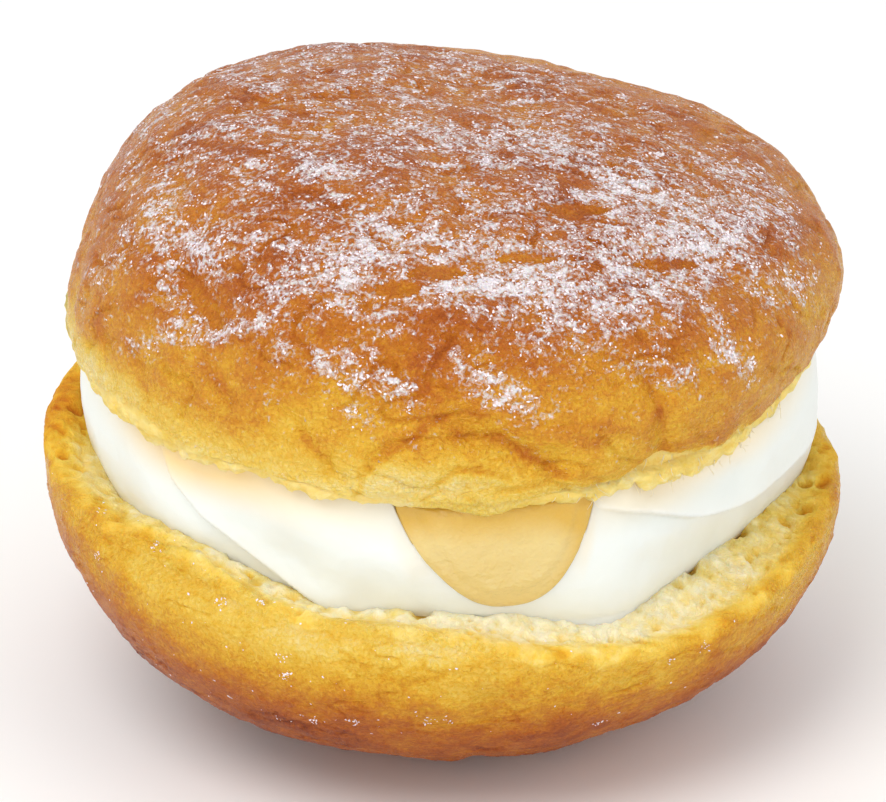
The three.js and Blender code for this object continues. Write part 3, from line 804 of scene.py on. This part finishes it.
FIBRES = 70
FIBRE_RADIUS = 0.06
FIBRE_LENGTHS = (0.3, 1.1)
FIBRE_AZIMUTH = 44  # they hang round this azimuth
FIBRE_SPREAD = 13

bm = bmesh.new()
bmesh.ops.create_cone(bm, cap_ends=True, segments=5, radius1=1, radius2=0.4, depth=1)
upright = [edge for edge in bm.edges if abs(edge.verts[0].co.z - edge.verts[1].co.z) > 0.5]
bmesh.ops.subdivide_edges(bm, edges=upright, cuts=4)
torn_fibres, thread = repeated("torn_fibres", bm, FIBRES)

top_middle, top_normal, top_area = face_places(top_half)
turn, from_axis = round_axis(top_middle)
at_lip = top_area * face_values(top_half, "crumb") * smooth(top_normal[:, 2], 0.3, -0.3)
at_lip *= from_axis > 38
at_lip *= hump(turn, FIBRE_AZIMUTH, FIBRE_SPREAD)
chosen = luck.choice(len(top_middle), FIBRES, p=at_lip / at_lip.sum())
along = thread[:, :, 2:] + 0.5
length = luck.uniform(*FIBRE_LENGTHS, (FIBRES, 1, 1))
outward = around(turn[chosen], 1, 0)[:, None]
sideways = around(turn[chosen] + 90, 1, 0)[:, None]
leaning = 0.4 * outward + luck.normal(0, 0.4, (FIBRES, 1, 1)) * sideways - (0, 0, 1)
curl = luck.normal(0, 0.4, (FIBRES, 1, 1)) * sideways + luck.normal(0, 0.2, (FIBRES, 1, 3))
core = top_middle[chosen][:, None] + length * (along * leaning + along ** 2 * curl)
core = core + FIBRE_RADIUS * (thread[:, :, :1] * sideways + thread[:, :, 1:2] * outward)
move_vertices(torn_fibres, core)
note_fact(torn_fibres, "browning_and_shading", np.zeros(len(torn_fibres.data.vertices)))
note_fact(torn_fibres, "crumb", np.ones(len(torn_fibres.data.vertices)))
torn_fibres.data.materials.append(fried_dough)

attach(torn_fibres, "root")

# ---- whipped cream ----
# Whipped cream, piped on the bottom half and pressed out by the top one into soft lobes. They
# fold over each other and run down towards the front, where the custard lies on them.

CREAM_WIDTH = 77
CREAM_SHIFT = 0.9  # its top lies this far to the right
CREAM_FOOT = 35  # radius of its foot
CREAM_BULGE = 1.3
CLEARANCE = 0.35  # between the filling and the halves
SUNK_IN = 0.5  # how far the cream's foot is pressed into the crumb
EDGE_RADIUS = 36  # where the side's lowest and highest points are taken from the cut faces
CREAM_FOOT_HUMPS = ((-103, 22, 3.5), (-50, 10, 1.8), (-19, 8, 2.4), (2, 9, 1.6),
                    (26, 9, 3.2), (98, 16, 5), (180, 45, 2))
PAINTED_WARM_SHADE_HUMPS = ((-42, 13, 1), (45, 13, 0.5))  # where the painted warm shade under the top half is strongest
# The hollow in the cream that the custard fills, and the tongue that runs out at the front.
CUSTARD_WIDTH = 42
CUSTARD_DEPTH = 4.5
TONGUE_TIP = 26.8  # height of its tip
TONGUE_AT = 9.2  # azimuth of its tip
TONGUE_LEFT = 16.2  # degrees out to where the edge has risen by TONGUE_DROP
TONGUE_RIGHT = 13.8
TONGUE_DROP = 12
TONGUE_THICK = 1.7
TONGUE_PROUD = 0.8  # how much of its thickness stands out of the cream
BED_SPARE = 3  # degrees by which the bed in the cream is wider than the tongue
# The mesh: rows up the side, and the radii of the few rows under and over the cream.
CREAM_WALL_ROWS = 56
CREAM_BASE_RADII = (0, 15, 28, 32)
CREAM_TOP_RADII = (34, 30, 26, 22, 18, 14, 10, 0)


def tongue_edge(azimuth, spare=0):
    """Height of the edge of the custard that runs out over the cream."""
    off = turned(azimuth, TONGUE_AT)
    left = (np.maximum(0, -off) / (TONGUE_LEFT + spare)) ** 2
    right = (np.maximum(0, off) / (TONGUE_RIGHT + spare)) ** 3
    return TONGUE_TIP + TONGUE_DROP * np.minimum(left + right, 2)


def inside_tongue(azimuth, z):
    """How far a point of the cream's side lies inside the tongue, measured square to its edge."""
    edge = tongue_edge(azimuth)
    slope = (tongue_edge(azimuth + 0.5) - tongue_edge(azimuth - 0.5)) / np.radians(EDGE_RADIUS)
    return (z - edge) / np.sqrt(1 + slope ** 2)


def runs_out(azimuth):
    """1 where the custard runs out over the cream, 0 elsewhere round the doughnut."""
    return smooth(top_cut(azimuth, EDGE_RADIUS + 1) - tongue_edge(azimuth), 0.2, 1)


def custard_depth(azimuth, r):
    """Depth of the hollow for the custard: a lens in the middle and a channel to the tongue."""
    lens = 1 - smooth(r, CUSTARD_WIDTH / 2 - 9, CUSTARD_WIDTH / 2 + 6)
    spare = BED_SPARE * (1 - smooth(r, EDGE_RADIUS - 5, EDGE_RADIUS + 1))
    below = (top_cut(azimuth, r) - tongue_edge(azimuth, spare)) / CUSTARD_DEPTH
    run = np.clip(below, 0, 1) * smooth(r, CUSTARD_WIDTH / 3, LEVEL_RADIUS + 2)
    return CUSTARD_DEPTH * np.maximum(lens, run)


def cream_foot(azimuth):
    return humps(azimuth, CREAM_FOOT, CREAM_FOOT_HUMPS)


def cream_top(azimuth):
    return CREAM_WIDTH / 2 + CREAM_SHIFT * np.sin(np.radians(azimuth))


def cream_wall(azimuth, z):
    """Radius of the side before its lobes."""
    low = bottom_cut(azimuth, EDGE_RADIUS)
    up = np.clip((z - low) / (top_cut(azimuth, EDGE_RADIUS) - low), 0, 1)
    straight = mix(cream_foot(azimuth), cream_top(azimuth), smooth(up, -0.1, 1))
    return straight + CREAM_BULGE * np.sin(math.pi * up) ** 0.7


def on_cream(azimuth, z):
    return around(azimuth, cream_wall(azimuth, z), z)


# Hollows and ridges of the lobes: (azimuth, height) of both ends, width and height.
CREAM_RELIEF = (
    ((-40, 36), (-24, 31), 2.4, -0.7),  # hollow of the lobe that laps over its left neighbour
    ((-22, 38), (-6, 33), 2.2, 0.8),  # ridge at the front
    ((-25, 31), (-14, 28), 2, -0.7),  # hollow under it
    ((34, 38.5), (52, 35.5), 2.0, -1.3),  # hollow under the top half on the right
    ((33, 30), (52, 27.5), 1.8, -0.6),  # lower layer on the right
    ((-84, 38), (-66, 30), 2.4, 0.5),  # far left lobe
    ((120, 38), (140, 29), 2.2, -1),  # folds behind
    ((165, 38), (185, 29), 2.2, -1),
    ((212, 38), (230, 29), 2.2, -1),
)
# Edge of the left lap, from its foot up, and hem of the upper layer on the right.
LAP_Z = (26, 28.6, 30, 33.5, 36.5, 40)
LAP_AZIMUTH = (-20, -28, -32, -42, -47, -50)
HEM_AZIMUTH = (22, 33, 43, 53, 65, 80)
HEM_Z = (38.2, 35.6, 32.8, 31.2, 30.7, 30.4)


def lobe_edge(into, step, hollow, hollow_width, proud, proud_width):
    """Relief across the edge of one lobe that lies on another: a hollow before the edge, and
    behind it a lip that sinks back into the lobe. The step between them is (from, to)."""
    before = -hollow * np.exp(-(into / hollow_width) ** 2)
    behind = proud * np.exp(-np.abs(into) / proud_width)
    return mix(before, behind, smooth(into, *step))


def cream_side(azimuth, z):
    """Radius of the side with its lobes, and with the bed that the tongue lies in."""
    base = on_cream(azimuth, z)
    r = cream_wall(azimuth, z) + soft_lines(base, CREAM_RELIEF, on_cream)
    r = r + 0.12 * lumps(base, 6, 2, 21) + 0.05 * lumps(base, 1.8, 2, 22)
    past_lap = turned(azimuth, np.interp(z, LAP_Z, LAP_AZIMUTH))
    into_lap = 0.5 * np.radians(past_lap) * CREAM_WIDTH / 2
    r = r + lobe_edge(into_lap, (-0.2, 0.45), 0.5, 2, 0.8, 3.5)
    above_hem = z - np.interp(azimuth, HEM_AZIMUTH, HEM_Z)
    laid = smooth(azimuth, 21, 30) * smooth(azimuth, 92, 78)
    r = r + laid * lobe_edge(above_hem, (-0.25, 0.4), 0.6, 3, 1, 2.2)
    bed = smooth(inside_tongue(azimuth, z), 0, 2) * runs_out(azimuth)
    return r - bed * (TONGUE_THICK - TONGUE_PROUD)


def cream_surface(azimuth, row):
    """From the middle of the foot out, up the side and in over the top; and how much painted warm
    shade it gets just under the top half."""
    base_rows = len(CREAM_BASE_RADII)
    wall_row = row - base_rows
    top_row = wall_row - CREAM_WALL_ROWS - 1
    base_r = np.interp(row, range(base_rows), CREAM_BASE_RADII)
    top_r = np.interp(top_row, range(len(CREAM_TOP_RADII)), CREAM_TOP_RADII)
    foot, head = cream_foot(azimuth), cream_top(azimuth)
    foot_z = bottom_cut(azimuth, foot) - SUNK_IN
    head_z = top_cut(azimuth, head) - CLEARANCE - custard_depth(azimuth, head)
    wall_z = mix(foot_z, head_z, np.clip(wall_row / CREAM_WALL_ROWS, 0, 1))
    wall_r = np.where(wall_row == 0, foot, cream_side(azimuth, wall_z))
    over = top_cut(azimuth, top_r) - CLEARANCE - custard_depth(azimuth, top_r)
    r = np.where(wall_row < 0, base_r, np.where(top_row >= 0, top_r, wall_r))
    z = np.where(wall_row < 0, bottom_cut(azimuth, base_r) + CLEARANCE,
                 np.where(top_row >= 0, over, wall_z))
    # Painted shade: a peach tint on the side just under the top half, strongest left and right of
    # the front.
    painted_warm_shade = smooth(z - head_z, -6.5, -0.5) * (wall_row > 0) * (top_row < 0)
    painted_warm_shade = painted_warm_shade * humps(azimuth, 0.25, PAINTED_WARM_SHADE_HUMPS)
    return around(azimuth, r, z), {"painted_warm_shade": painted_warm_shade}


cream_rows = len(CREAM_BASE_RADII) + CREAM_WALL_ROWS + len(CREAM_TOP_RADII)
whipped_cream = round_body("whipped_cream_lobes", cream_rows, cream_surface)

# Whipped cream: fat and air, so white through and through, with soft shadows that light leaks
# into, and a satin surface. Just under the top half it is tinted peach: painted warm shade.
FROTH_SIZE = 0.0014  # metres; the unevenness that the whisk leaves
FROTH_RELIEF = 0.0002

cream, tree, shader = new_material(
    "whipped_cream", roughness=0.42, subsurface_weight=0.5, subsurface_radius=(1, 0.97, 0.92),
    subsurface_scale=0.003)
# The peach tint under the top half is painted shade.
painted_warm_shade = add_node(tree, "Attribute", attribute_name="painted_warm_shade").outputs["Fac"]
tint = add_node(tree, "Mix", {0: painted_warm_shade, 6: linear("#E9EDE8"), 7: linear("#F6D9A0")},
                data_type="RGBA").outputs[2]
tree.links.new(tint, shader.inputs["Base Color"])
place = add_node(tree, "TexCoord").outputs["Object"]
froth = add_node(tree, "TexNoise", {"Vector": place, "Scale": 1 / FROTH_SIZE,
                                    "Detail": 4}).outputs["Fac"]
bump = add_node(tree, "Bump", {"Height": froth, "Strength": 0.35,
                               "Distance": FROTH_RELIEF}).outputs[0]
tree.links.new(bump, shader.inputs["Normal"])
whipped_cream.data.materials.append(cream)

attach(whipped_cream, "root")
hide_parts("whipped_cream")

# ---- custard ----
# Cooked custard, spooned into the cream. It runs out over the cream at the front in one broad
# tongue with a rounded edge.

TIP_ROUNDING = 3  # distance from its edge at which the tongue is at full thickness
TONGUE_SUNK = 0.2  # the tongue's inner face lies this far inside the cream's side
FLOOR_SUNK = 1.3 * CLEARANCE  # the custard's floor lies this far under the bottom of its hollow
LENS_RADII = (0, 10, 14, 18)
RUN_ROWS = 8
TONGUE_ROWS = 30
CUSTARD_ROWS = len(LENS_RADII) + RUN_ROWS + 2 * TONGUE_ROWS + 1


def custard_floor(azimuth, r):
    return top_cut(azimuth, r) - custard_depth(azimuth, r) - FLOOR_SUNK


def custard_roof(azimuth, r):
    return top_cut(azimuth, r) - CLEARANCE


def custard_surface(azimuth, row):
    """From the middle of the floor out to the spout, down inside the tongue, up over it and
    back under the top half; and how amber it is."""
    out = runs_out(azimuth)
    inside = CUSTARD_WIDTH / 2
    head = cream_side(azimuth, custard_floor(azimuth, cream_top(azimuth)))
    edge = mix(inside, head + CLEARANCE, out)
    run_row = row - len(LENS_RADII) + 1
    lens_r = np.interp(row, range(len(LENS_RADII)), LENS_RADII)
    run_r = mix(LENS_RADII[-1], edge, np.clip(run_row / RUN_ROWS, 0, 1))
    floor_r = np.where(run_row <= 0, lens_r, run_r)

    # 0 to 1 goes down the inner face to the edge, 1 to 2 up the outer face to the roof, with
    # its rows crowded at the rounded edge.
    down = (run_row - RUN_ROWS) / TONGUE_ROWS
    up = np.maximum(0, down - 1) ** 1.5
    spout = custard_floor(azimuth, edge)
    tip = mix(spout + 0.1, tongue_edge(azimuth), out)
    roof_edge = custard_roof(azimuth, edge + TONGUE_THICK * out)
    z = np.where(down <= 1, mix(spout, tip, down), mix(tip, roof_edge, up))
    inner = cream_side(azimuth, z) - TONGUE_SUNK
    rounding = smooth(inside_tongue(azimuth, z), 0, TIP_ROUNDING) ** 0.55
    outer = inner + TONGUE_SUNK + (TONGUE_THICK - TONGUE_SUNK) * rounding
    r = mix(inside, np.where(down <= 1, inner, outer), out)
    roof_r = (CUSTARD_ROWS - row) * LENS_RADII[-1]
    r = np.where(down < 0, floor_r, np.where(down > 2, roof_r, r))
    z = np.where(down < 0, custard_floor(azimuth, floor_r),
                 np.where(down > 2, custard_roof(azimuth, roof_r), z))
    point = around(azimuth, r, z)
    wobble = 0.12 * lumps(point, 2.2, 2, 31) * out * (down > 1.05) * (down < 2)

    amber = smooth(z, TONGUE_TIP + 7.5, TONGUE_TIP + 12) + 0.7 * smooth(azimuth, 15, 22)
    amber = amber + 0.1 * smooth(inside_tongue(azimuth, z), 1.2, 0.3) + 0.2 * lumps(point, 4, 2, 32)
    return point + around(azimuth, wobble, 0), {"amber": np.clip(amber, 0, 1)}


custard_run = round_body("custard_run", CUSTARD_ROWS, custard_surface)

# Custard: starch, egg and milk, glossy and a little translucent, pale yellow, amber towards its
# top under the top half, on the right of the tongue, along its edge and in random patches.
CUSTARD_LUMP_SIZE = 0.0008  # metres; the fine curd of cooked egg
CUSTARD_RELIEF = 0.0004

custard, tree, shader = new_material(
    "custard", roughness=0.22, subsurface_weight=0.3, subsurface_radius=(1, 0.8, 0.4),
    subsurface_scale=0.0005)
place = add_node(tree, "TexCoord").outputs["Object"]
amber = add_node(tree, "Attribute", attribute_name="amber").outputs["Fac"]
tint = add_node(tree, "Mix", {0: amber, 6: linear("#E0C782"), 7: linear("#D6AC46")},
                data_type="RGBA").outputs[2]
tree.links.new(tint, shader.inputs["Base Color"])
curd = add_node(tree, "TexNoise", {"Vector": place, "Scale": 1 / CUSTARD_LUMP_SIZE,
                                   "Detail": 3}).outputs["Fac"]
bump = add_node(tree, "Bump", {"Height": curd, "Strength": 0.6,
                               "Distance": CUSTARD_RELIEF}).outputs[0]
tree.links.new(bump, shader.inputs["Normal"])
custard_run.data.materials.append(custard)

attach(custard_run, "root")
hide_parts("custard")

# ---- floor and light ----
# A plain white table, a broad soft lamp over the front left, two weaker ones on the right and
# low in front, and white walls all round.

TABLE_SIZE = 3  # metres from its middle to its edges

bm = bmesh.new()
bmesh.ops.create_grid(bm, x_segments=1, y_segments=1, size=TABLE_SIZE)
floor_piece = new_piece("table", bm)

# White laminate: matt, so that it takes a soft shadow and shows no reflection.
table_white, *_ = new_material("table_white", base_color=linear("#FBFBFA"), roughness=0.8)
floor_piece.data.materials.append(table_white)


def add_lamp(name, place, size, power):
    """A round lamp that faces the doughnut: place and size in metres, power in watts."""
    lamp = bpy.data.lights.new(name, "AREA")
    lamp.shape = "DISK"
    lamp.size = size
    lamp.energy = power
    stand = put_in_scene(name, lamp)
    stand.location = place
    stand.rotation_euler = (CAMERA_AIM - Vector(place)).to_track_quat("-Z", "Y").to_euler()


add_lamp("key", (-0.25, -0.4, 0.7), 0.5, 2.45)
add_lamp("fill", (0.5, -0.4, 0.35), 0.5, 0.4)
add_lamp("low_fill", (-0.1, -0.6, 0.12), 0.25, 0.25)
walls = bpy.data.worlds.new("white_walls")
walls.use_nodes = True
walls.node_tree.nodes["Background"].inputs["Color"].default_value = (1, 1, 1, 1)
walls.node_tree.nodes["Background"].inputs["Strength"].default_value = 0.86
bpy.context.scene.world = walls
bpy.context.scene.view_settings.view_transform = "Standard"
